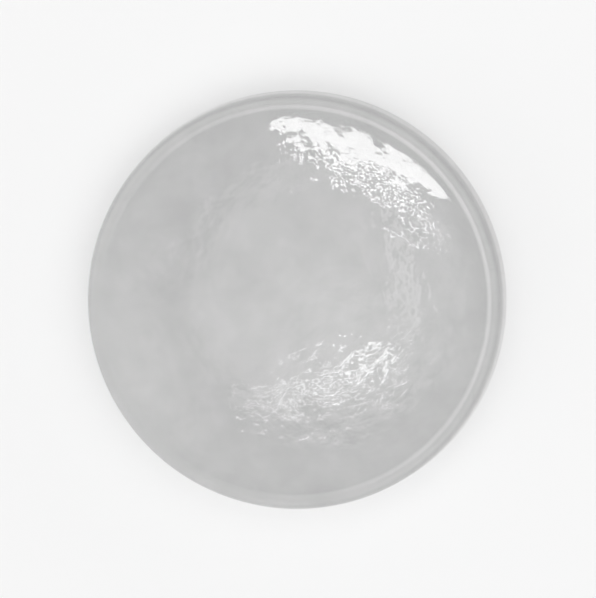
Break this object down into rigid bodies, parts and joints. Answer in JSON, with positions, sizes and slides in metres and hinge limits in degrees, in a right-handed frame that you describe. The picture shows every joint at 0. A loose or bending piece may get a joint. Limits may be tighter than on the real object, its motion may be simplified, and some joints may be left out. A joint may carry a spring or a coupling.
{
  "type": "cabinet door bumper",
  "caption": "Clear round elastomer dome with a self-adhesive base that softens and quiets a closing cabinet door.",
  "frame": {"origin": "middle of the sticky face, which lies in the plane z = 0", "axes": "+Z along the bumper's axis, away from the door it is stuck to, towards the crown; X and Y are alike, because the part is round"},
  "size_m": [0.0126, 0.0126, 0.0035],
  "materials": {
    "clear_elastomer": "gloss",
    "clear_adhesive": "satin"
  },
  "bodies": {
    "root": {"bumper_dome": "clear_elastomer", "adhesive_film": "clear_adhesive"}
  },
  "joints": []
}
